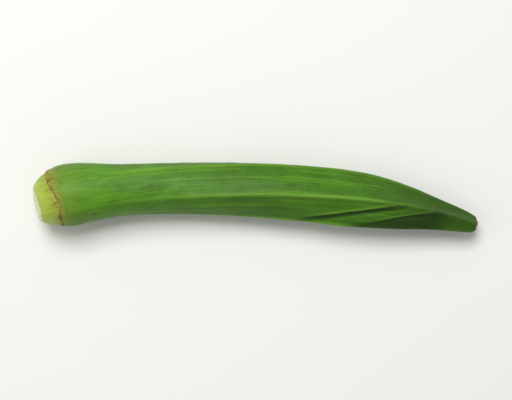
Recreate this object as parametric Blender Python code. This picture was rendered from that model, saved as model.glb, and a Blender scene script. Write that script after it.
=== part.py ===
"""An okra pod as picked, lying on its side: the five-ridged pod and the stem cap with its cut stalk.

Metres, +Z up. The pod lies along X with the cut stalk towards -X and the tip towards +X.
Its axis bows towards +Y, and it rests on Z = 0. The origin is under the middle of its box.
"""

import math

import bmesh
import bpy
from mathutils import Vector

# Driving dimensions. "Station" is a distance along the chord of the axis, from the cap's end.
LENGTH = 0.115  # from the cap's end to the blunt tip
CUT_STATION = 0.0009  # middle of the cut face of the stalk
RING_STATION = 0.0052  # the scar ring, where the stem cap ends and the pod begins
RING_GAP = 0.0003  # between the cap's end face and the pod's

# The axis bows sideways like a parabola. Its stalk end hooks back and up, and its tip hooks back.
BOW = 0.0059
BOW_POWER = 1.9
STALK_HOOK = 0.0024
STALK_LIFT = 0.0014
STALK_HOOK_REACH = 0.0135
TIP_HOOK = 0.0003
TIP_HOOK_REACH = 0.024

# The knife crossed the stalk aslant: how far the cut face leans, sideways and upwards
CUT_LEAN_SIDE = 0.16
CUT_LEAN_UP = 0.08

SPIRAL = math.radians(60)  # turn of the ridges from end to end, leaning to +Y at the tip
LEVEL_STATION = 0.0806  # where one ridge stands straight up and one face points straight down

# Outline, as (station, radius over the ridges)
RADII = (
    (0.0009, 0.00310),
    (0.0011, 0.00410),
    (0.0015, 0.00495),
    (0.0022, 0.00560),
    (0.0032, 0.00640),
    (0.0043, 0.00700),
    (0.0052, 0.00735),
    (0.0062, 0.00780),
    (0.0076, 0.00820),
    (0.0100, 0.00820),
    (0.0150, 0.00770),
    (0.0220, 0.00695),
    (0.0320, 0.00685),
    (0.0500, 0.00730),
    (0.0680, 0.00760),
    (0.0800, 0.00760),
    (0.0880, 0.00720),
    (0.0960, 0.00600),
    (0.1040, 0.00440),
    (0.1100, 0.00328),
    (0.1135, 0.00250),
    (0.1146, 0.00205),
    (0.1150, 0.00140),
)

# How five-sided the section is, as (station, share): 0 is round, 1 has flat faces, more has hollow faces
FLUTING = (
    (0.000, 0.00),
    (0.006, 0.15),
    (0.011, 0.12),
    (0.018, 0.22),
    (0.030, 0.38),
    (0.060, 0.70),
    (0.080, 1.00),
    (0.095, 1.25),
    (0.108, 1.40),
    (0.115, 0.60),
)

RIDGES = 5
RIB_HEIGHT = 0.00016  # the thin raised line on each ridge
RIB_WIDTH = math.radians(5)

# Two creases cross one face slantwise, on the hollow side of the bow: a fold from the belly on, and a
# hollow by the tip. Both climb from the lower ridge to the top one, with a steep wall above and a gentle
# one below. Each is (start, end, share of the face crossed, how late it climbs, depth, steep, gentle).
FOLD = (0.066, 0.098, 1.02, 1.20, 0.00060, math.radians(4.5), math.radians(11))
HOLLOW = (0.080, 0.105, 1.00, 1.93, 0.00045, math.radians(5.0), math.radians(15))

# Where the pod's weight comes down: its shoulder and its two lower ridges. Each is worn to a small flat.
SHOULDER_STATION = 0.0103
BELLY_STATION = 0.0863
FLAT_DEPTH = 0.00018

# Resolution of the two solids
AROUND = 90
POD_RINGS = 58
CAP_RINGS = 13
END_CROWDING = 0.12  # draws the rings towards both ends, where the outline turns fastest

SECTOR = 2 * math.pi / RIDGES
TOP = math.pi / 2


def smooth_value(points, station):
    """The value at a station, on a smooth curve through the (station, value) points."""
    last = len(points) - 1
    i = min(max(sum(p[0] <= station for p in points) - 1, 0), last - 1)

    def slope(k):
        before, after = points[max(k - 1, 0)], points[min(k + 1, last)]
        return (after[1] - before[1]) / (after[0] - before[0])

    (x0, y0), (x1, y1) = points[i], points[i + 1]
    span = x1 - x0
    t = (station - x0) / span
    bend = (1 - t) ** 2 * t * span * slope(i) - t * t * (1 - t) * span * slope(i + 1)
    return y0 + (y1 - y0) * t * t * (3 - 2 * t) + bend


def crease(shape, station, angle):
    """Depth of a slanting crease at an angle round the section."""
    start, end, crossed, lateness, depth, steep, gentle = shape
    if not start < station < end:
        return 0
    share = ((station - start) / (end - start)) ** lateness
    bottom = TOP + SECTOR * (1 - crossed * share)
    off_bottom = math.remainder(angle - bottom, 2 * math.pi)
    width = steep if off_bottom < 0 else gentle
    return depth * math.sin(math.pi * share) * math.exp(-((off_bottom / width) ** 2))


def section(station, angle):
    """Radius at an angle round the section. A ridge stands at the top and at each fifth of a turn."""
    off_ridge = abs((angle - TOP + SECTOR / 2) % SECTOR - SECTOR / 2)
    flat_face = math.cos(SECTOR / 2) / math.cos(SECTOR / 2 - off_ridge)
    fluting = smooth_value(FLUTING, station)
    rib = RIB_HEIGHT * min(fluting, 1) * math.exp(-((off_ridge / RIB_WIDTH) ** 2))
    faces = smooth_value(RADII, station) * (1 - fluting * (1 - flat_face))
    return faces + rib - crease(FOLD, station, angle) - crease(HOLLOW, station, angle)


def spiral(station):
    """Turn of the ridges at a station."""
    return SPIRAL * (LEVEL_STATION - station) / LENGTH


def stalk_end(station):
    """1 at the cap's end, falling smoothly to 0 where the hook of the stalk ends."""
    return max(1 - station / STALK_HOOK_REACH, 0) ** 2


def tip_end(station):
    """1 at the tip, falling smoothly to 0 where the hook of the tip begins."""
    return max(1 - (LENGTH - station) / TIP_HOOK_REACH, 0) ** 2


def underside(station):
    """Depth of the section's lowest point below an axis without its lift."""
    angles = [2 * math.pi * k / 360 for k in range(360)]
    depth = max(-section(station, angle) * math.sin(angle + spiral(station)) for angle in angles)
    return depth - STALK_LIFT * stalk_end(station)


SHOULDER_DEPTH = underside(SHOULDER_STATION)
BELLY_DEPTH = underside(BELLY_STATION)


def axis_point(station):
    """The axis at a station: bowed and hooked, and as high as its shoulder and belly hold it."""
    across = BOW * (1 - abs(2 * station / LENGTH - 1) ** BOW_POWER)
    across -= STALK_HOOK * stalk_end(station) + TIP_HOOK * tip_end(station)
    share = (station - SHOULDER_STATION) / (BELLY_STATION - SHOULDER_STATION)
    height = SHOULDER_DEPTH + (BELLY_DEPTH - SHOULDER_DEPTH) * share - FLAT_DEPTH
    return Vector((station, across, height + STALK_LIFT * stalk_end(station)))


def axis_frame(station):
    """The axis point and three directions there: along the axis, sideways and up."""
    step = LENGTH / 1000
    along = (axis_point(station + step) - axis_point(station - step)).normalized()
    side = Vector((0, 0, 1)).cross(along).normalized()
    return axis_point(station), along, side, along.cross(side)


def skin_point(station, angle):
    """The skin at a station and an angle, with the cap's end leaning as the knife left it."""
    centre, along, side, up = axis_frame(station)
    turned = angle + spiral(station)
    sideways = section(station, angle) * math.cos(turned)
    upwards = section(station, angle) * math.sin(turned)
    near_cut = max((RING_STATION - station) / (RING_STATION - CUT_STATION), 0) ** 2
    lean = near_cut * (CUT_LEAN_SIDE * sideways + CUT_LEAN_UP * upwards)
    return centre + lean * along + sideways * side + upwards * up


def length_of_okra(name, start, end, rings):
    """A closed length of the okra between two stations, shaped from a plain cylinder."""
    bm = bmesh.new()
    bmesh.ops.create_cone(bm, cap_ends=True, segments=AROUND, radius1=1, radius2=1, depth=1)
    lengthwise = [e for e in bm.edges if abs(e.verts[0].co.z - e.verts[1].co.z) > 0.5]
    bmesh.ops.subdivide_edges(bm, edges=lengthwise, cuts=rings - 2)
    for vert in bm.verts:
        share = vert.co.z + 0.5
        share -= END_CROWDING * math.sin(2 * math.pi * share)
        angle = math.atan2(vert.co.y, vert.co.x)
        vert.co = skin_point(start + (end - start) * share, angle)
    mesh = bpy.data.meshes.new(name)
    bm.to_mesh(mesh)
    bm.free()
    mesh.shade_smooth()
    mesh.set_sharp_from_angle(angle=math.radians(50))
    return bpy.data.objects.new(name, mesh)


def material(name, colour, roughness):
    made = bpy.data.materials.new(name)
    made.use_nodes = True
    shader = made.node_tree.nodes["Principled BSDF"]
    shader.inputs["Base Color"].default_value = (*colour, 1)
    shader.inputs["Roughness"].default_value = roughness
    shader.inputs["Metallic"].default_value = 0
    return made


def collection(name):
    made = bpy.data.collections.new(name)
    bpy.context.scene.collection.children.link(made)
    return made


def table_cutter():
    """A block under Z = 0, which wears the pod's resting flats."""
    bm = bmesh.new()
    bmesh.ops.create_cube(bm, size=2 * LENGTH)
    bmesh.ops.translate(bm, verts=bm.verts, vec=(0, 0, -LENGTH))
    mesh = bpy.data.meshes.new("table_cutter")
    bm.to_mesh(mesh)
    bm.free()
    cutter = bpy.data.objects.new("table_cutter", mesh)
    cutter.hide_render = True
    cutter.display_type = "WIRE"
    return cutter


def middle_of(objects):
    """The middle, seen from above, of the box that holds the objects."""
    corners = [Vector(corner) for obj in objects for corner in obj.bound_box]
    low = [min(c[axis] for c in corners) for axis in (0, 1)]
    high = [max(c[axis] for c in corners) for axis in (0, 1)]
    return Vector(((low[0] + high[0]) / 2, (low[1] + high[1]) / 2, 0))


def main():
    for obj in list(bpy.data.objects):
        bpy.data.objects.remove(obj)
    okra, cutters = collection("okra"), collection("cutters")

    pod = length_of_okra("pod", RING_STATION + RING_GAP, LENGTH, POD_RINGS)
    pod.data.materials.append(material("pod_skin", (0.075, 0.21, 0.014), 0.45))
    cap = length_of_okra("stem_cap", CUT_STATION, RING_STATION, CAP_RINGS)
    cap.data.materials.append(material("stem_cap_skin", (0.30, 0.44, 0.045), 0.5))

    holder = bpy.data.objects.new("okra_origin", None)
    holder.location = -middle_of((pod, cap))
    okra.objects.link(holder)
    for piece in (pod, cap):
        piece.parent = holder
        okra.objects.link(piece)

    cutter = table_cutter()
    cutters.objects.link(cutter)
    flats = pod.modifiers.new("resting_flats", "BOOLEAN")
    flats.operation = "DIFFERENCE"
    flats.object = cutter


main()
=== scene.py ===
# %% [markdown]
# # An okra pod
#
# Okra is picked young, while the pod is still tender. Seed chambers meet along its middle, and each corner
# between them shows outside as a ridge, so the pod is a long five-sided horn. It starts at a swollen
# shoulder, ends in a blunt tip, and sits on a pale cap with the cut stalk at its end. A rough scar ring
# shows where the small leaves under the flower fell off.
#
# The pod here lies on its side and bows gently. A bowed and twisted form is hard to model directly, so
# each piece is modelled straight, along X, and given its ridges while it is straight. Only then is it bowed.

import math

import bpy
import numpy as np
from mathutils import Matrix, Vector, noise


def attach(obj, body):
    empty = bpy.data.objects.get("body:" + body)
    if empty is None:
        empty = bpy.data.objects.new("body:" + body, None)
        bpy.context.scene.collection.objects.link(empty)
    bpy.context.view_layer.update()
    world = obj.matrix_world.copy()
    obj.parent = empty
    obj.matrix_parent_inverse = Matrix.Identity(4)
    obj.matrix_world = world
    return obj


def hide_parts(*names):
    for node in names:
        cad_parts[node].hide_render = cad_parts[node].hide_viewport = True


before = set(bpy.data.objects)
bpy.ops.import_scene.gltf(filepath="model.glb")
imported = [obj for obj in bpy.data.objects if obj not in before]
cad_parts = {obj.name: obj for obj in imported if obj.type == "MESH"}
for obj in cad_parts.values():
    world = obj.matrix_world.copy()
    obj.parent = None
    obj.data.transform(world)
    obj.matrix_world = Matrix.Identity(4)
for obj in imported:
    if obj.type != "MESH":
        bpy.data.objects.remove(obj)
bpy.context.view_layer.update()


def in_mm(box):
    """The corners of a box in millimetres, for printing."""
    return [[round(float(v) * 1000, 2) for v in corner] for corner in box]


# %% [markdown]
# ## The form as numbers
#
# An outline can be drawn by eye with a curve, or written as pairs of numbers with a smooth curve through
# them. Pairs are used here, because the pod, the cap, the ring and the hairs all have to agree on where the
# skin is. A "station" is a distance along the pod from the cap's end. All lengths are in metres.

# %% Outline and section
LENGTH = 0.115
CUT_STATION = 0.0009
RING_STATION = 0.0052
RING_GAP = 0.0003

# (station, radius over the ridges)
RADII = np.array([
    (0.0009, 0.00310), (0.0011, 0.00410), (0.0015, 0.00495), (0.0022, 0.00560), (0.0032, 0.00640),
    (0.0043, 0.00700), (0.0052, 0.00735), (0.0062, 0.00780), (0.0076, 0.00820), (0.0100, 0.00820),
    (0.0150, 0.00770), (0.0220, 0.00695), (0.0320, 0.00685), (0.0500, 0.00730), (0.0680, 0.00760),
    (0.0800, 0.00760), (0.0880, 0.00720), (0.0960, 0.00600), (0.1040, 0.00440), (0.1100, 0.00328),
    (0.1135, 0.00250), (0.1146, 0.00205), (0.1150, 0.00140),
])

# (station, how five-sided): 0 is round, 1 has flat faces, more has hollow faces
FLUTING = np.array([
    (0.000, 0.00), (0.006, 0.15), (0.011, 0.12), (0.018, 0.22), (0.030, 0.38),
    (0.060, 0.70), (0.080, 1.00), (0.095, 1.25), (0.108, 1.40), (0.115, 0.60),
])


def smooth_value(points, station):
    """The value at each station, on a smooth curve through the (station, value) points."""
    x, y = points.T
    before = np.maximum(np.arange(len(x)) - 1, 0)
    after = np.minimum(np.arange(len(x)) + 1, len(x) - 1)
    slope = (y[after] - y[before]) / (x[after] - x[before])
    i = np.clip(np.searchsorted(x, station, side="right") - 1, 0, len(x) - 2)
    span = x[i + 1] - x[i]
    t = (station - x[i]) / span
    bend = (1 - t) ** 2 * t * span * slope[i] - t * t * (1 - t) * span * slope[i + 1]
    return y[i] + (y[i + 1] - y[i]) * t * t * (3 - 2 * t) + bend


def ramp(low, high, value):
    """0 below low, 1 above high, and a smooth step between them. High may be the smaller."""
    t = np.clip((value - low) / (high - low), 0, 1)
    return t * t * (3 - 2 * t)


widest = smooth_value(RADII, np.linspace(0, LENGTH, 500)).max()
print("Widest radius", round(float(widest) * 1000, 2), "mm")

# %% [markdown]
# ## Ridges, ribs and creases
#
# A ridge on the real pod isn't a sharp corner: it is a narrow rounded rib. Between two ridges a faint groove
# runs down the middle of the face, and the seeds swell the skin a little beside it. On the inner side of
# the bow two creases cross one face slantwise, up to the top ridge: a fold, whose upper lip is raised where
# the skin was pinched, and a hollow nearer the tip. Each of these is a bell curve across the angle, which
# leaves no edge where it begins.

# %% Sizes of ridges and creases
RIDGES = 5
SECTOR = 2 * math.pi / RIDGES
TOP = math.pi / 2
RIDGE_ROUNDING = math.radians(1.6)

# Heights and depths in metres, widths in degrees
RIB_HEIGHT, RIB_WIDTH = 0.00021, 3.4
GROOVE_DEPTH, GROOVE_WIDTH = 0.00007, 1.8
SEED_HEIGHT, SEED_WIDTH = 0.00004, 7
SEED_OFF_GROOVE = math.radians(11)
SEED_WAVE = 0.00098  # the seeds lie 2 pi times this apart, about 6 mm

# (start, end, share of the face crossed, how late it climbs)
FOLD = (0.066, 0.098, 1.02, 1.20)
HOLLOW = (0.080, 0.105, 1.00, 1.93)

# Depths, and the widths of a steep wall towards the top ridge and a gentle one away from it
FOLD_DEPTH, FOLD_WALLS = 0.00072, (3.2, 10)
HOLLOW_DEPTH, HOLLOW_WALLS = 0.00050, (4, 15)
LIP_HEIGHT, LIP_WIDTH = 0.00016, 3.2
LIP_OFF_FOLD = math.radians(7.5)
print("Ridges stand", round(math.degrees(SECTOR)), "degrees apart")


# %% Height of the skin at any place
def bell(distance, degrees):
    """1 at distance 0, and nearly 0 at twice that many degrees."""
    return np.exp(-((distance / np.radians(degrees)) ** 2))


def off_ridge(angle):
    """The angle from the nearest ridge."""
    return np.abs((angle - TOP + SECTOR / 2) % SECTOR - SECTOR / 2)


def off_crease(shape, station, angle):
    """How strong a crease is at a station, and the angle from its bottom, below 0 towards the top ridge."""
    start, end, crossed, lateness = shape
    share = np.clip((station - start) / (end - start), 0, 1) ** lateness
    bottom = TOP + SECTOR * (1 - crossed * share)
    return np.sin(math.pi * share), (angle - bottom + math.pi) % (2 * math.pi) - math.pi


def skin_radius(station, angle):
    """Distance of the skin from the axis, before it is bowed."""
    ridge = off_ridge(angle)
    softened = np.sqrt(ridge**2 + RIDGE_ROUNDING**2)
    flat_face = math.cos(SECTOR / 2) / np.cos(SECTOR / 2 - softened)
    fluting = smooth_value(FLUTING, station)
    faces = smooth_value(RADII, station) * (1 - fluting * (1 - flat_face))
    rib = RIB_HEIGHT * np.minimum(fluting, 1) * bell(ridge, RIB_WIDTH)

    body = ramp(0.014, 0.032, station) * (1 - ramp(0.100, 0.112, station))
    off_groove = SECTOR / 2 - ridge
    groove = GROOVE_DEPTH * body * bell(off_groove, GROOVE_WIDTH)
    seed_row = bell(off_groove - SEED_OFF_GROOVE, SEED_WIDTH)
    seeds = SEED_HEIGHT * body * np.sin(station / SEED_WAVE) * seed_row

    fold, off = off_crease(FOLD, station, angle)
    lip = LIP_HEIGHT * bell(off + LIP_OFF_FOLD, LIP_WIDTH)
    creases = fold * (FOLD_DEPTH * bell(off, np.where(off < 0, *FOLD_WALLS)) - lip)
    hollow, below = off_crease(HOLLOW, station, angle)
    creases = creases + hollow * HOLLOW_DEPTH * bell(below, np.where(below < 0, *HOLLOW_WALLS))
    return faces + rib - groove + seeds - creases


belly = [skin_radius(np.array(0.068), angle) for angle in (TOP, TOP + SECTOR / 2)]
print("Skin at the belly, over a ridge and in a face:", in_mm([belly]), "mm")

# %% [markdown]
# ## Bowing a straight piece
#
# The Simple Deform modifier bends only to a circle, and this pod bows like a parabola, with a sharper hook
# at its stalk. So a straight piece's points are moved onto the pod's own axis: X becomes the place along
# it, and Y and Z are turned by a slight spiral and laid across it. The axis is held as high as the
# shoulder and the belly need to rest on the table. The knife crossed the stalk aslant, so the points near
# the cut also slide along the axis.

# %% Axis and bow
BOW, BOW_POWER = 0.0059, 1.9
STALK_HOOK, STALK_LIFT, STALK_HOOK_REACH = 0.0024, 0.0014, 0.0135
TIP_HOOK, TIP_HOOK_REACH = 0.0003, 0.024
CUT_LEAN_SIDE, CUT_LEAN_UP = 0.16, 0.08
SPIRAL, LEVEL_STATION = math.radians(60), 0.0806
SHOULDER_STATION, BELLY_STATION = 0.0103, 0.0863
FLAT_DEPTH = 0.00018
START = np.array([-0.0573783, -0.0029728, 0.0])  # the first point of the axis's chord, in the frame


def spiral(station):
    """Turn of the ridges at each station."""
    return SPIRAL * (LEVEL_STATION - station) / LENGTH


def stalk_end(station):
    """1 at the cap's end, falling smoothly to 0 where the hook of the stalk ends."""
    return np.maximum(1 - station / STALK_HOOK_REACH, 0) ** 2


def tip_end(station):
    """1 at the tip, falling smoothly to 0 where the hook of the tip begins."""
    return np.maximum(1 - (LENGTH - station) / TIP_HOOK_REACH, 0) ** 2


def underside(station):
    """Depth of the section's lowest point below an axis without its lift."""
    angle = np.radians(np.arange(360))
    heights = skin_radius(np.full(360, station), angle) * np.sin(angle + spiral(station))
    return float(-heights.min() - STALK_LIFT * stalk_end(station))


SHOULDER_DEPTH, BELLY_DEPTH = underside(SHOULDER_STATION), underside(BELLY_STATION)


def axis_point(station):
    """Points of the axis, one row for each station."""
    across = BOW * (1 - np.abs(2 * station / LENGTH - 1) ** BOW_POWER)
    across = across - STALK_HOOK * stalk_end(station) - TIP_HOOK * tip_end(station)
    share = (station - SHOULDER_STATION) / (BELLY_STATION - SHOULDER_STATION)
    height = SHOULDER_DEPTH + (BELLY_DEPTH - SHOULDER_DEPTH) * share - FLAT_DEPTH
    return START + np.stack([station, across, height + STALK_LIFT * stalk_end(station)], axis=-1)


def bow(straight):
    """Where points of a straight piece lie once it is bowed and its ridges are turned."""
    station = np.clip(straight[:, 0], CUT_STATION, LENGTH)
    step = LENGTH / 1000
    along = axis_point(station + step) - axis_point(station - step)
    along /= np.linalg.norm(along, axis=1, keepdims=True)
    side = np.cross((0.0, 0.0, 1.0), along)
    side /= np.linalg.norm(side, axis=1, keepdims=True)
    up = np.cross(along, side)
    turn = spiral(station)
    y = straight[:, 1] * np.cos(turn) - straight[:, 2] * np.sin(turn)
    z = straight[:, 1] * np.sin(turn) + straight[:, 2] * np.cos(turn)
    near_cut = np.clip((RING_STATION - station) / (RING_STATION - CUT_STATION), 0, 1) ** 2
    slide = straight[:, 0] - station + near_cut * (CUT_LEAN_SIDE * y + CUT_LEAN_UP * z)
    placed = axis_point(station) + slide[:, None] * along + y[:, None] * side + z[:, None] * up
    placed[:, 2] = np.maximum(placed[:, 2], 0)
    return placed


print("Tip of the axis at", np.round(axis_point(np.array([LENGTH]))[0], 4))

# %% [markdown]
# ## Helpers for modelling
#
# Everything is deselected before a primitive is added, because an operator acts on all that is selected,
# and the loaded solids start out selected. A primitive's axis is Z, so it is turned to X as it is added.

# %% Selecting, points and finishing
Z_TO_X = (0, math.pi / 2, 0)


def start_alone():
    """Leaves edit mode and deselects everything."""
    if bpy.context.object and bpy.context.object.mode != "OBJECT":
        bpy.ops.object.mode_set(mode="OBJECT")
    bpy.ops.object.select_all(action="DESELECT")


def added(name):
    """The primitive just added, named, with its place in its mesh."""
    piece = bpy.context.object
    piece.name = name
    piece.data.name = name
    bpy.ops.object.transform_apply(location=True, rotation=True, scale=True)
    return piece


def edit_all():
    """Enters edit mode with the whole mesh selected."""
    bpy.ops.object.mode_set(mode="EDIT")
    bpy.ops.mesh.select_all(action="SELECT")


def points_of(piece):
    """A mesh's points, one row for each."""
    points = np.empty(len(piece.data.vertices) * 3)
    piece.data.vertices.foreach_get("co", points)
    return points.reshape(-1, 3)


def from_axis(points):
    """Each point's distance from the X axis, and its angle round it."""
    return np.hypot(points[:, 1], points[:, 2]), np.arctan2(points[:, 2], points[:, 1])


def round_axis(x, radius, angle):
    """Points at a distance and an angle round the X axis, one row for each."""
    return np.stack([x, radius * np.cos(angle), radius * np.sin(angle)], axis=1)


def keep_field(piece, name, values):
    """Stores a number or a vector for each point, for the material to read."""
    kind, key = ("FLOAT_VECTOR", "vector") if values.ndim == 2 else ("FLOAT", "value")
    field = piece.data.attributes.new(name, kind, "POINT")
    field.data.foreach_set(key, values.astype(np.float32).ravel())


def bow_piece(piece, straight):
    """Keeps a piece's straight points for its material, moves them to the bowed form and smooths it."""
    keep_field(piece, "straight", straight)
    piece.data.vertices.foreach_set("co", bow(straight).ravel())
    piece.data.update()
    bpy.ops.object.shade_smooth()


def apply_subdivision(piece, levels, kind):
    """Divides a piece's faces, rounding them or leaving them flat."""
    finer = piece.modifiers.new("finer", "SUBSURF")
    finer.subdivision_type = kind
    finer.levels = finer.render_levels = levels
    bpy.ops.object.modifier_apply(modifier=finer.name)


def triangles(piece):
    """How many triangles a piece's faces make."""
    return sum(len(face.vertices) - 2 for face in piece.data.polygons)


def wander(points, scale, seed):
    """Smooth noise from -1 to 1 at each point. Scale is one over the size of its waves, for each axis."""
    spots = points * np.array(scale) + seed * 17.3
    return np.array([noise.noise(spot) for spot in spots.tolist()])


# %% [markdown]
# ## Turning a straight blank
#
# The pod and the cap could each start as a cylinder, but a filled circle is simpler: it is extruded from
# station to station, and each new end is scaled to the radius there, as a turner works along a blank.
# The steps are short near the ends, where the outline turns fastest. An end face then gets insets, each
# pushed a little along X. Simple subdivision divides the faces without rounding them.

# %% A blank between two stations
BLANK_SIDES = 60
ON_WALL = 0.985  # the middles of the blank's flat sides lie a little inside its circle


def blank_stations(start, end, count, crowding=0.12):
    """Stations from start to end, crowded towards both."""
    share = np.linspace(0, 1, count)
    return start + (end - start) * (share - crowding * np.sin(2 * math.pi * share))


def straight_blank(name, stations):
    """A round closed blank along X, turned from a filled circle, in edit mode with its far end selected."""
    radii = smooth_value(RADII, stations)
    start_alone()
    bpy.ops.mesh.primitive_circle_add(vertices=BLANK_SIDES, radius=float(radii[0]), fill_type="NGON",
                                      location=(float(stations[0]), 0, 0), rotation=Z_TO_X)
    blank = added(name)
    edit_all()
    for i in range(1, len(stations)):
        end = float(stations[i])
        step = float(stations[i] - stations[i - 1])
        grow = float(radii[i] / radii[i - 1])
        bpy.ops.mesh.extrude_region_move(TRANSFORM_OT_translate={"value": (step, 0, 0)})
        bpy.ops.transform.resize(value=(1, grow, grow), center_override=(end, 0, 0))
    return blank


def inset_end(steps):
    """Insets the selected end face once for each (thickness, push along X)."""
    for thickness, push in steps:
        bpy.ops.mesh.inset(thickness=thickness, depth=0)
        bpy.ops.transform.translate(value=(push, 0, 0))


def close_blank(blank, levels):
    """Points the faces outwards, ends edit mode and divides the faces."""
    bpy.ops.mesh.select_all(action="SELECT")
    bpy.ops.mesh.normals_make_consistent(inside=False)
    bpy.ops.object.mode_set(mode="OBJECT")
    apply_subdivision(blank, levels, "SIMPLE")
    print("The blank of", blank.name, "has", triangles(blank), "triangles")


def place_in_section(points, stations):
    """Station, angle and share of the radius (1 on the side wall) of each point of a blank."""
    station = np.clip(points[:, 0], stations[0], stations[-1])
    radius, angle = from_axis(points)
    share = radius / np.interp(station, stations, smooth_value(RADII, stations))
    share[share > ON_WALL] = 1
    return station, angle, share


# %% [markdown]
# ## The pod
#
# The insets in the tip are pushed outwards for a blunt rounded end, and then inwards for the small pit that
# the dried style leaves. Then each point is moved out or in to the height of the skin. Low noise keeps it
# from looking machined: long soft ripples on the body, and short grooves that fan out from the ring over
# the shoulder, behind a low collar. The seam where pod and cap meet isn't a plane either: it waves, and
# both pieces follow the same wave.

# %% The seam's wave
SEAM_WAVE_REACH = 0.0024


def seam_wave(station, angle):
    """How far the seam wanders along the pod, fading out within a few millimetres of it."""
    turn = angle - math.radians(62)
    wave = 0.00040 * np.cos(3 * turn) + 0.00018 * np.cos(6 * turn) + 0.0001
    return wave * np.exp(-(((station - RING_STATION) / SEAM_WAVE_REACH) ** 2))


once_round = seam_wave(RING_STATION, np.radians(np.arange(360))) * 1000
print("The seam wanders from", round(once_round.min(), 2), "to", round(once_round.max(), 2), "mm")

# %% Turn the pod and round its tip
pod_stations = blank_stations(RING_STATION + RING_GAP, LENGTH, 82)
pod = straight_blank("ribbed_pod", pod_stations)
inset_end(((0.00025, 0.00022), (0.00025, 0.00006), (0.00025, -0.00020), (0.0002, -0.00012)))
close_blank(pod, 2)

# %% Raise its ridges
RIPPLE, DENT, LINE, FAN, COLLAR = 0.00006, 0.00004, 0.00004, 0.00009, 0.00009  # heights of the relief
FAN_REACH = 0.0055
FAN_RADIUS = 0.0075
COLLAR_STATION, COLLAR_WIDTH = 0.0009, 0.0004  # the station counts from the ring

points = points_of(pod)
station, angle, share = place_in_section(points, pod_stations)
wave = seam_wave(station, angle)
station = station + wave
radius = skin_radius(station, angle)
straight = round_axis(points[:, 0] + wave, radius, angle)

ripples = wander(straight, (70, 420, 420), 1)
lines = wander(straight, (18, 1050, 1050), 12)
dents = wander(straight, (230, 260, 260), 2)
fan = wander(round_axis(station * 0.25, FAN_RADIUS, angle), (900, 900, 900), 3)
near_ring = np.exp(-(station - RING_STATION) / FAN_REACH)
collar = np.exp(-(((station - RING_STATION - COLLAR_STATION) / COLLAR_WIDTH) ** 2))
relief = RIPPLE * ripples + DENT * dents + LINE * lines + FAN * fan * near_ring + COLLAR * collar
radius = (radius + relief * ramp(0, 0.6, share)) * share
straight = round_axis(straight[:, 0], radius, angle)
print("Relief from", round(relief.min() * 1000, 3), "to", round(relief.max() * 1000, 3), "mm")

# %% Mark the creases for painted shade and a painted highlight
fold, off = off_crease(FOLD, station, angle)
hollow, below = off_crease(HOLLOW, station, angle)
painted_lip_highlight = fold * bell(off + math.radians(10), 4.2) + 0.7 * hollow * bell(below + math.radians(10), 5)

# The hollow's painted shade runs from its bottom to the next ridge
past_ridge = (angle - TOP - SECTOR + math.pi) % (2 * math.pi) - math.pi
below_crease = ramp(-math.radians(9), -math.radians(1), below)
before_ridge = ramp(math.radians(14), math.radians(5), past_ridge)
painted_hollow_shade = below_crease * before_ridge * ramp(0.079, 0.086, station) * ramp(0.110, 0.103, station)

# The fold and hollow fields carry painted shade, and the pinch field a painted highlight beside them
keep_field(pod, "off_ridge", off_ridge(angle) / (SECTOR / 2))
keep_field(pod, "fold", fold**0.5 * bell(off - math.radians(2), 8.5))
keep_field(pod, "pinch", painted_lip_highlight)
keep_field(pod, "hollow", painted_hollow_shade)
print("The hollow's paint is on", int((painted_hollow_shade > 0).sum()), "of the pod's", len(painted_hollow_shade), "points")

# %% Bow the pod
bow_piece(pod, straight)
print("Pod reaches", in_mm((points_of(pod).min(0), points_of(pod).max(0))), "mm")

# %% [markdown]
# ## The cap and the cut stalk
#
# The cap is the thickened end of the stalk. Its skin is smooth, and the knife left a flat pale face with a
# soft pith inside a firmer rim. The cut face is inset four times, and the pith is pushed in a little. It
# is the first face of the blank, so it is found by its place, and selected alone.

# %% Turn the cap and sink the pith
cap_stations = blank_stations(CUT_STATION, RING_STATION, 20, 0.10)
cap = straight_blank("stalk_cap", cap_stations)
bpy.ops.mesh.select_all(action="DESELECT")
bpy.ops.object.mode_set(mode="OBJECT")
cut_face = min(cap.data.polygons, key=lambda face: face.center.x)
cut_face.select = True
bpy.ops.object.mode_set(mode="EDIT")
bpy.ops.mesh.select_mode(type="FACE")
inset_end(((0.00025, -0.00012), (0.0006, 0.00005), (0.0005, 0.00016), (0.0005, 0.00008)))
close_blank(cap, 2)

# %% Roughen the cut and bow the cap
CUT_RADIUS = 0.0041
CUT_RIM = (0.00430, 0.00395)  # between these radii the skin turns into the cut face
CUT_DEPTH = 0.0008
CUT_FIBRE, CAP_RIPPLE, CAP_DIMPLE = 0.00013, 0.00010, 0.00004

points = points_of(cap)
station, angle, share = place_in_section(points, cap_stations)
from_middle, _ = from_axis(points)
cut = ramp(*CUT_RIM, from_middle) * (points[:, 0] < CUT_STATION + CUT_DEPTH)
wave = seam_wave(station, angle)
station = station + wave
radius = skin_radius(station, angle)
straight = round_axis(points[:, 0] + wave, radius, angle)
straight[:, 1:] *= share[:, None]

straight[:, 0] += cut * CUT_FIBRE * wander(straight, (300, 2600, 2600), 4)
ripples = wander(straight, (160, 520, 520), 5)
dimples = wander(straight, (900, 1500, 1500), 21)
past_cut = ramp(CUT_STATION, CUT_STATION + 0.0006, station)
radius = (radius + (CAP_RIPPLE * ripples + CAP_DIMPLE * dimples) * past_cut) * share
straight = round_axis(straight[:, 0], radius, angle)
keep_field(cap, "cut", cut)
keep_field(cap, "in_cut", from_middle / CUT_RADIUS)
bow_piece(cap, straight)
print("Cap reaches", in_mm((points_of(cap).min(0), points_of(cap).max(0))), "mm")

# %% [markdown]
# ## The scar ring
#
# The narrow leaves under the flower dropped off and left a corky, ragged, brown line round the seam. A
# torus is a good start, because the scar is one closed band. Noise then widens it in places, lifts it
# and lets it stray a little from the seam that it covers.

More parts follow.
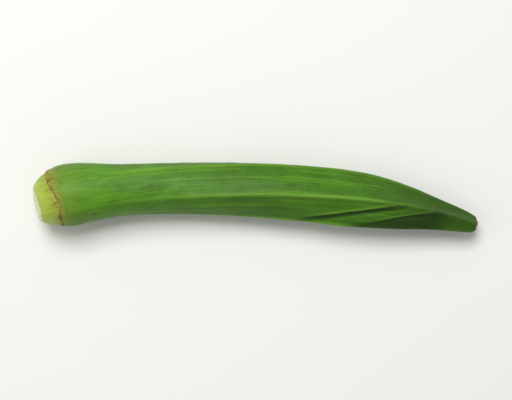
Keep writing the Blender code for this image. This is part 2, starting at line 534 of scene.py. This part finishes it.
# %% Ring
RING_MIDDLE = RING_STATION + RING_GAP / 2
RING_RADIUS, RING_THICKNESS = 0.0076, 0.00027
RING_STRAY, RING_GRAIN = 0.00012, 0.00005

start_alone()
bpy.ops.mesh.primitive_torus_add(major_segments=256, minor_segments=12, major_radius=RING_RADIUS,
                                 minor_radius=RING_THICKNESS, location=(RING_MIDDLE, 0, 0), rotation=Z_TO_X)
ring = added("scar_ring")
points = points_of(ring)
from_middle, angle = from_axis(points)
circle = round_axis(np.zeros(len(angle)), 1, angle)
stray = RING_STRAY * wander(circle, (1, 6, 6), 6) + RING_STRAY * wander(circle, (1, 19, 19), 7)
width = 1.2 + 1.1 * wander(circle, (1, 7, 7), 8) + 0.8 * wander(circle, (1, 26, 26), 9)
along = (points[:, 0] - RING_MIDDLE) * np.clip(width, 0.5, 2.6)
lift = (from_middle - RING_RADIUS) * np.clip(0.5 + 0.22 * width, 0.4, 1.0)
station = RING_MIDDLE + along + stray
station = station + seam_wave(station, angle)
radius = skin_radius(station, angle) + lift + RING_GRAIN * wander(points, (0, 2500, 2500), 10)
bow_piece(ring, round_axis(station, radius, angle))
print("The ring has", triangles(ring), "triangles")

# %% [markdown]
# ## The withered tip
#
# The flower's style dried up on the blunt tip and left a pale brown crumpled rim round a small pit, with a
# stub in it. The rim is a torus and the stub is a cone, both pinched by noise and set slightly askew.

# %% Rim and stub
CRUMPLE = 0.00016


def crumpled(piece, amount, seed):
    """Pinches a small dry piece round its axis and sets it on the pod's tip."""
    points = points_of(piece)
    _, angle = from_axis(points)
    pinch = 1 + amount * wander(points, (900, 1300, 1300), seed) + 0.10 * np.cos(5 * angle)
    points[:, 1:] *= pinch[:, None]
    points[:, 0] += CRUMPLE * wander(points, (500, 1100, 1100), seed + 1)
    bow_piece(piece, points)
    print(piece.name, "has", triangles(piece), "triangles")


start_alone()
bpy.ops.mesh.primitive_torus_add(major_segments=96, minor_segments=12, major_radius=0.00112,
                                 minor_radius=0.00026, location=(LENGTH + 0.00008, 0, 0), rotation=Z_TO_X)
rim = added("withered_rim")
crumpled(rim, 0.28, 13)

start_alone()
bpy.ops.mesh.primitive_cone_add(vertices=20, radius1=0.00062, radius2=0.00030, depth=0.0007,
                                location=(LENGTH + 0.00018, 0.0001, 0), rotation=Z_TO_X)
stub = added("withered_stub")
edit_all()
bpy.ops.mesh.subdivide(number_cuts=3)
bpy.ops.object.mode_set(mode="OBJECT")
apply_subdivision(stub, 1, "CATMULL_CLARK")
crumpled(stub, 0.35, 11)

# %% [markdown]
# ## The down
#
# Okra is covered in short pale hairs, which catch the light along its edges. Hair curves would be lost in
# an export, so each hair is a real spike. One cone of three sides is modelled, and its points are
# copied to thousands of seeded places, leaning towards the tip. Ridges carry more of them than the faces.

# %% Model one hair
start_alone()
bpy.ops.mesh.primitive_cone_add(vertices=3, radius1=1, radius2=0, depth=1, location=(0, 0, 0.5))
hair = added("one_hair")
edit_all()
bpy.ops.mesh.bisect(plane_co=(0, 0, 0.5), plane_no=(0, 0, 1))
bpy.ops.object.mode_set(mode="OBJECT")
hair_points = points_of(hair)
hair_faces = [tuple(face.vertices) for face in hair.data.polygons]
bpy.data.objects.remove(hair)
print("One hair has", len(hair_points), "points and", len(hair_faces), "faces")

# %% Choose where the hairs grow
HAIRS = 9000
BARE_END = 0.001  # without hairs, at each end of the pod
ON_RIDGE, RIDGE_SCATTER = 0.3, math.radians(4)

chance = np.random.default_rng(7)
station = chance.uniform(RING_STATION + BARE_END, LENGTH - BARE_END, HAIRS)
angle = chance.uniform(0, 2 * math.pi, HAIRS)
on_ridge = chance.random(HAIRS) < ON_RIDGE
near = TOP + SECTOR * chance.integers(0, RIDGES, HAIRS) + chance.normal(0, RIDGE_SCATTER, HAIRS)
angle = np.where(on_ridge, near, angle)
print("Hairs by a ridge:", int(on_ridge.sum()))

# %% Plant them
ROOT_DEPTH = 0.00003
HAIR_BEND = 0.25
TABLE_CLEARANCE = 0.00002


def on_skin(station, angle, lift=0.0):
    """Points on the bowed skin, or lifted from it."""
    return bow(round_axis(station, skin_radius(station, angle) + lift, angle))


def unit(vectors):
    """Vectors scaled to length 1."""
    return vectors / np.linalg.norm(vectors, axis=1, keepdims=True)


def spread(along_hair, size, direction):
    """How far each point of each hair lies in a direction: hairs, then points, then axes."""
    return (along_hair[None, :] * size[:, None])[..., None] * direction[:, None]


root = on_skin(station, angle, -ROOT_DEPTH)
tipwards = unit(on_skin(station + 0.0002, angle) - root)
around = unit(on_skin(station, angle + 0.02) - root)
outwards = unit(np.cross(around, tipwards))
lean = chance.uniform(0.3, 1.0, HAIRS)[:, None]
sway = chance.normal(0, 0.25, HAIRS)[:, None]
grows = unit(outwards + lean * tipwards + sway * around)
length = chance.uniform(0.00025, 0.0006, HAIRS)
thick = chance.uniform(0.000012, 0.00002, HAIRS)
across = unit(np.cross(grows, tipwards))
third = np.cross(grows, across)
x, y, up = hair_points.T
placed = (root[:, None] + spread(up, length, grows) + spread(HAIR_BEND * up**2, length, tipwards)
          + spread(x, thick, across) + spread(y, thick, third))
placed = placed[placed[:, :, 2].min(1) > TABLE_CLEARANCE]
print(len(placed), "hairs stand clear of the table")

# %% Make them one mesh
faces = [tuple(v + hair_number * len(hair_points) for v in face)
         for hair_number in range(len(placed)) for face in hair_faces]
down_mesh = bpy.data.meshes.new("down")
down_mesh.from_pydata(placed.reshape(-1, 3).tolist(), [], faces)
down = bpy.data.objects.new("down", down_mesh)
bpy.context.scene.collection.objects.link(down)
start_alone()
down.select_set(True)
bpy.context.view_layer.objects.active = down
edit_all()
bpy.ops.mesh.normals_make_consistent(inside=False)
bpy.ops.object.mode_set(mode="OBJECT")
print("The down has", triangles(down), "triangles")

# %% [markdown]
# ## A short way to write materials
#
# A procedural material is a network of nodes, and most of them do plain arithmetic. Placing those by hand
# hides the idea, so this class wraps a socket and lets Python's own signs add the Math nodes.

# %% Sockets as numbers
class Value:
    """A number that a node gives, with arithmetic that adds Math nodes."""

    def __init__(self, maker, socket):
        self.maker, self.socket = maker, socket

    def math(self, operation, *others):
        """A Math node on this number and others."""
        sockets = dict(enumerate((self, *others)))
        return self.maker.value("ShaderNodeMath", {"operation": operation}, sockets)

    def __add__(self, other):
        return self.math("ADD", other)

    def __mul__(self, other):
        return self.math("MULTIPLY", other)

    def __rsub__(self, other):
        return (self * -1) + other

    __radd__, __rmul__ = __add__, __mul__

    def between(self, low, high):
        """0 below low, 1 above high, and a smooth step between them. High may be the smaller."""
        settings = {"interpolation_type": "SMOOTHSTEP"}
        ends = (low, high, 0, 1) if low < high else (high, low, 1, 0)
        sockets = {0: self, 1: ends[0], 2: ends[1], 3: ends[2], 4: ends[3]}
        return self.maker.value("ShaderNodeMapRange", settings, sockets)


# %% Materials
class Finish:
    """A material and the ways to add to it."""

    def __init__(self, name, roughness, **constants):
        self.material = bpy.data.materials.new(name)
        self.material.use_nodes = True
        self.nodes = self.material.node_tree.nodes
        self.links = self.material.node_tree.links
        self.shader = self.nodes["Principled BSDF"]
        self.shader.inputs["Roughness"].default_value = roughness
        for socket, constant in constants.items():
            self.shader.inputs[socket.replace("_", " ")].default_value = constant

    def node(self, kind, settings=None, sockets=None):
        """Any node: its settings first, then the values or links of its sockets."""
        made = self.nodes.new(kind)
        for setting, choice in (settings or {}).items():
            setattr(made, setting, choice)
        for key, given in (sockets or {}).items():
            if isinstance(given, Value):
                self.links.new(given.socket, made.inputs[key])
            elif isinstance(given, bpy.types.NodeSocket):
                self.links.new(given, made.inputs[key])
            else:
                made.inputs[key].default_value = given
        return made

    def value(self, kind, settings=None, sockets=None, output=0):
        """A node's output as a number."""
        return Value(self, self.node(kind, settings, sockets).outputs[output])

    def field(self, name, output="Fac"):
        """A number or vector that was kept on the mesh."""
        return self.value("ShaderNodeAttribute", {"attribute_name": name}, {}, output)

    def part(self, vector, axis):
        """One number of a vector: 0, 1 or 2."""
        return self.value("ShaderNodeSeparateXYZ", {}, {0: vector}, axis)

    def stretched(self, vector, scale):
        """A vector with each axis scaled."""
        settings = {"operation": "MULTIPLY"}
        return self.node("ShaderNodeVectorMath", settings, {0: vector, 1: scale}).outputs[0]

    def grain(self, vector, scale, detail=3.0, roughness=0.55):
        """Noise from 0 to 1 over the vector, with waves of one over the scale."""
        sockets = {"Vector": self.stretched(vector, scale), "Scale": 1.0}
        sockets |= {"Detail": detail, "Roughness": roughness}
        return self.value("ShaderNodeTexNoise", {}, sockets)

    def blend(self, share, first, second):
        """A colour between two colours."""
        sockets = {0: share, 6: first, 7: second}
        return self.node("ShaderNodeMix", {"data_type": "RGBA"}, sockets).outputs[2]

    def bump(self, height, strength, distance):
        """Makes the surface look uneven where the height varies."""
        sockets = {"Height": height, "Strength": strength, "Distance": distance}
        self.give("Normal", self.node("ShaderNodeBump", {}, sockets).outputs[0])

    def give(self, socket, given):
        """Links a number or another output to a socket of the shader."""
        output = given.socket if isinstance(given, Value) else given
        self.links.new(output, self.shader.inputs[socket])

    def wear(self, piece):
        """Puts the finish on a piece."""
        piece.data.materials.clear()
        piece.data.materials.append(self.material)


def colour(red, green, blue):
    """An opaque colour."""
    return (red, green, blue, 1.0)


# %% [markdown]
# ## The pod's skin
#
# The skin is a soft, slightly waxy green. It is palest at the ring, where it turns olive with a few brown
# smudges and whitish streaks fan out over the shoulder. Painted shade darkens the hollow by the tip, the
# fold and the groove of each face, and a painted highlight lightens the fold's lip. The ridges are paler
# than the faces, partly their own tone and partly a painted highlight. Long faint fibres run along it, and
# a fine speckle marks the roots of the down.
# All patterns read the place that each point had while the pod was straight, so they follow the bow.

# %% Skin: grains and greens
SHOULDER_GREEN = colour(0.082, 0.250, 0.006)
BELLY_GREEN = colour(0.056, 0.172, 0.005)
TIP_GREEN = colour(0.028, 0.085, 0.004)
MOTTLE_GREEN = colour(0.026, 0.084, 0.003)
FIBRE_GREEN = colour(0.120, 0.320, 0.012)
DEEP_GREEN = colour(0.020, 0.066, 0.003)

skin = Finish("okra_skin", 0.45, Specular_IOR_Level=0.22, Subsurface_Weight=0.05, Subsurface_Scale=0.0010)
place = skin.field("straight", "Vector")
along = skin.part(place, 0)
ridge = skin.field("off_ridge")
fold = skin.field("fold")

fibres = skin.grain(place, (90, 1500, 1500), 4)
long_fibres = skin.grain(place, (28, 700, 700), 3)
mottle = skin.grain(place, (160, 260, 260), 4)
speckle = skin.grain(place, (2400, 3400, 3400), 2, 0.6)

before_tip = 1 - 0.75 * along.between(0.086, 0.104)
green = skin.blend(along.between(0.008, 0.060), SHOULDER_GREEN, BELLY_GREEN)
green = skin.blend(along.between(0.078, 0.108), green, TIP_GREEN)
green = skin.blend(mottle.between(0.35, 0.68) * 0.45, green, MOTTLE_GREEN)
green = skin.blend(long_fibres.between(0.48, 0.66) * before_tip * 0.45, green, FIBRE_GREEN)
green = skin.blend(fibres.between(0.42, 0.26) * 0.45, green, DEEP_GREEN)
print("Skin has", len(skin.nodes), "nodes so far")

# %% Skin: ridges, grooves, speckle and creases, with painted shade and painted highlights
PALE_STREAK_AND_HIGHLIGHT_GREEN = colour(0.185, 0.390, 0.035)
GROOVE_SHADE_GREEN = colour(0.020, 0.075, 0.004)
LIP_HIGHLIGHT_GREEN = colour(0.150, 0.330, 0.030)
SPECKLE_GREEN = colour(0.150, 0.320, 0.045)
HOLLOW_SHADE_GREEN = colour(0.008, 0.029, 0.001)
FOLD_SHADE_GREEN = colour(0.009, 0.034, 0.002)

# Paler ridges: partly their own tone, partly a painted highlight along the crests
pale_ridge_and_highlight = (ridge.between(0.20, 0.02) * along.between(0.010, 0.030)
              * (0.35 + 0.65 * long_fibres.between(0.3, 0.6)))
green = skin.blend(pale_ridge_and_highlight * before_tip * 0.50, green, PALE_STREAK_AND_HIGHLIGHT_GREEN)
# Painted shade in the groove down the middle of each face
groove = ridge.between(0.945, 0.985) * along.between(0.020, 0.040)
green = skin.blend(groove * 0.35, green, GROOVE_SHADE_GREEN)
# A painted highlight on the fold's raised lip and above the hollow's wall
green = skin.blend(skin.field("pinch").between(0.10, 0.85) * 0.50, green, LIP_HIGHLIGHT_GREEN)
green = skin.blend(speckle.between(0.56, 0.70) * before_tip * 0.40, green, SPECKLE_GREEN)
green = skin.blend(speckle.between(0.44, 0.32) * 0.35, green, DEEP_GREEN)
# Painted shade on the lower face by the tip, which is turned from the light
green = skin.blend(skin.field("hollow") * 0.85, green, HOLLOW_SHADE_GREEN)
# Painted shade in the fold
green = skin.blend(fold.between(0.12, 0.80) * 0.88, green, FOLD_SHADE_GREEN)
print("Skin has", len(skin.nodes), "nodes so far")

# %% Skin: the shoulder by the ring, and rare spots
OLIVE = colour(0.160, 0.240, 0.026)
YELLOWED = colour(0.270, 0.260, 0.030)
SMUDGE_BROWN = colour(0.150, 0.125, 0.022)
SPOT_BROWN = colour(0.050, 0.040, 0.008)

streaks = skin.grain(place, (60, 1150, 1150), 3, 0.5).between(0.44, 0.66) * along.between(0.026, 0.0060)
green = skin.blend(streaks * 0.40, green, PALE_STREAK_AND_HIGHLIGHT_GREEN)
olive = along.between(0.0170, 0.0060) * (0.5 + 0.5 * mottle.between(0.30, 0.65))
green = skin.blend(olive * 0.72, green, OLIVE)
band = along.between(0.0084, 0.0056) * (0.35 + 0.65 * mottle.between(0.35, 0.6))
green = skin.blend(band * 0.80, green, YELLOWED)
smudges = skin.grain(place, (420, 620, 620), 3).between(0.52, 0.60) * along.between(0.0100, 0.0070)
green = skin.blend(smudges * 0.60, green, SMUDGE_BROWN)

spot_place = skin.stretched(place, (130, 210, 210))
spots = skin.node("ShaderNodeTexVoronoi", {}, {"Vector": spot_place, "Scale": 1.0})
spot = Value(skin, spots.outputs["Distance"]).between(0.13, 0.07)
rare = skin.part(spots.outputs["Color"], 0).between(0.80, 0.82)
green = skin.blend(spot * rare * 0.5, green, SPOT_BROWN)

skin.give("Base Color", green)
skin.give("Roughness", 0.40 + 0.14 * mottle + 0.10 * fibres)
skin.bump(fibres * 0.6 + speckle * 0.35 + mottle * 0.4, 0.55, 0.00012)
skin.wear(pod)
print("Skin has", len(skin.nodes), "nodes")

# %% [markdown]
# ## The cap's skin and the cut face
#
# The cap is a pale yellow-green with faint streaks and a few brown scars by the ring. The cut face is drier
# and whiter, with a circle of greener veins, and browned at its rim.

# %% Cap: rind
CUT_END_YELLOW = colour(0.370, 0.465, 0.065)
RING_END_YELLOW = colour(0.250, 0.375, 0.022)
STREAK_YELLOW = colour(0.400, 0.495, 0.080)
PATCH_GREEN = colour(0.130, 0.245, 0.014)
SCAR_BROWN = colour(0.190, 0.120, 0.018)
DULL_YELLOW = colour(0.300, 0.260, 0.025)

rind = Finish("cap_skin", 0.42, Specular_IOR_Level=0.35, Subsurface_Weight=0.10, Subsurface_Scale=0.0012)
place = rind.field("straight", "Vector")
along = rind.part(place, 0)
cut = rind.field("cut")
streak = rind.grain(place, (130, 1300, 1300), 3)
patch = rind.grain(place, (420, 420, 420), 4)
grit = rind.grain(place, (4200, 4200, 4200), 2)

yellow = rind.blend(along.between(0.0010, 0.0050), CUT_END_YELLOW, RING_END_YELLOW)
yellow = rind.blend(streak.between(0.42, 0.66) * 0.5, yellow, STREAK_YELLOW)
yellow = rind.blend(patch.between(0.54, 0.76) * 0.5, yellow, PATCH_GREEN)
near_ring = along.between(0.0030, 0.0050)
scars = rind.grain(place, (500, 1300, 1300), 3).between(0.52, 0.62) * near_ring
yellow = rind.blend(scars * 0.75, yellow, SCAR_BROWN)
yellow = rind.blend(near_ring * streak.between(0.35, 0.55) * 0.35, yellow, DULL_YELLOW)
print("Rind has", len(rind.nodes), "nodes so far")

# %% Cap: cut face
PALE_PITH = colour(0.780, 0.790, 0.600)
DRY_PITH = colour(0.620, 0.640, 0.420)
VEIN_GREEN = colour(0.330, 0.420, 0.100)
RIM_BROWN = colour(0.200, 0.140, 0.040)

pith = rind.blend(grit.between(0.35, 0.65), PALE_PITH, DRY_PITH)
in_cut = rind.field("in_cut")
veins = in_cut.between(0.66, 0.76) * in_cut.between(0.88, 0.78)
pith = rind.blend(veins * grit.between(0.40, 0.60) * 0.7, pith, VEIN_GREEN)
yellow = rind.blend(cut, yellow, pith)
browned = cut.between(0.0, 0.35) * cut.between(1.0, 0.6) * patch.between(0.40, 0.6)
yellow = rind.blend(browned * 0.8, yellow, RIM_BROWN)
rind.give("Base Color", yellow)
rind.give("Roughness", 0.38 + 0.14 * patch + 0.25 * cut)
rind.bump(streak * 0.5 + grit * 0.4, 0.5, 0.0001)
rind.wear(cap)
print("Rind has", len(rind.nodes), "nodes")

# %% [markdown]
# ## Cork, husk and down
#
# The ring is dull brown cork with darker crumbs, and the tip's rim and stub are a dry fibrous husk. The
# hairs are too fine to show a pattern, so they get one pale green.

# %% Ring
CORK_BROWN = colour(0.175, 0.105, 0.022)
CORK_OLIVE = colour(0.285, 0.240, 0.040)
CRUMB_BROWN = colour(0.072, 0.038, 0.010)

cork = Finish("scar_cork", 0.75)
place = cork.field("straight", "Vector")
crumbs = cork.grain(place, (1900, 1900, 1900), 4)
tint = cork.grain(place, (600, 600, 600), 2)
brown = cork.blend(tint.between(0.36, 0.58), CORK_BROWN, CORK_OLIVE)
brown = cork.blend(crumbs.between(0.54, 0.66), brown, CRUMB_BROWN)
cork.give("Base Color", brown)
cork.bump(crumbs, 0.8, 0.00015)
cork.wear(ring)
print("Cork has", len(cork.nodes), "nodes")

# %% Rim, stub and hairs
HUSK_BROWN = colour(0.100, 0.085, 0.024)
HUSK_STRAW = colour(0.300, 0.270, 0.110)
DOWN_GREEN = colour(0.17, 0.33, 0.06)

dry = Finish("dry_tip", 0.8)
place = dry.field("straight", "Vector")
husk = dry.grain(place, (900, 2600, 2600), 3)
dry.give("Base Color", dry.blend(husk.between(0.38, 0.62), HUSK_BROWN, HUSK_STRAW))
dry.bump(husk, 0.7, 0.00012)
dry.wear(rim)
dry.wear(stub)

hairs = Finish("pale_down", 0.5)
hairs.shader.inputs["Base Color"].default_value = DOWN_GREEN
hairs.wear(down)
pieces = (pod, cap, ring, rim, stub, down)
print("Finishes on", [piece.name for piece in pieces])

# %% [markdown]
# ## Setting the pieces on the frame
#
# The pod and the cap take the place of their solids. The small pieces have none, so they only join the
# same body.

# %% Ride and replace
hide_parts("pod")
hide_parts("stem_cap")
for piece in pieces:
    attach(piece, "root")
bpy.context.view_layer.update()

# %% [markdown]
# ## Floor, light and camera
#
# The photograph looks straight down, so the camera does too, turned so that the tip lies a little lower in
# the picture than the stalk. A large soft light from beyond the pod leaves its near side in gentle shade.

# %% Floor
start_alone()
bpy.ops.mesh.primitive_plane_add(size=6)
floor = added("floor")
paper = Finish("pale_floor", 0.9)
paper.shader.inputs["Base Color"].default_value = colour(0.81, 0.805, 0.785)
floor.data.materials.append(paper.material)
print("Floor", tuple(round(v, 2) for v in floor.dimensions), "m")


# %% Light
def soft_light(name, place, size, power):
    """An area light at a place, turned to the pod."""
    start_alone()
    bpy.ops.object.light_add(type="AREA", location=place)
    lamp = bpy.context.object
    lamp.name = name
    lamp.data.size = size
    lamp.data.energy = power
    lamp.rotation_euler = (-Vector(place)).to_track_quat("-Z", "Y").to_euler()
    print(name, "light of", power, "W")


soft_light("key", (-0.12, 0.30, 0.66), 0.36, 4.5)
soft_light("fill", (-0.50, -0.12, 0.45), 0.5, 0.7)
world = bpy.data.worlds.new("studio")
bpy.context.scene.world = world
world.use_nodes = True
sky = world.node_tree.nodes["Background"]
sky.inputs["Color"].default_value = colour(1.0, 0.99, 0.96)
sky.inputs["Strength"].default_value = 0.36
bpy.context.scene.view_settings.view_transform = "Standard"

# %% Camera
TURN = math.radians(3.45)
CAMERA_HEIGHT = 0.34
LENS = 90

camera_data = bpy.data.cameras.new("camera")
camera_data.lens = LENS
camera_data.clip_start = 0.01
camera = bpy.data.objects.new("camera", camera_data)
camera.location = (0.0, 0.0, CAMERA_HEIGHT)
camera.rotation_euler = (0, 0, TURN)
bpy.context.scene.collection.objects.link(camera)
bpy.context.scene.camera = camera
print("Camera at", tuple(round(v, 3) for v in camera.location))
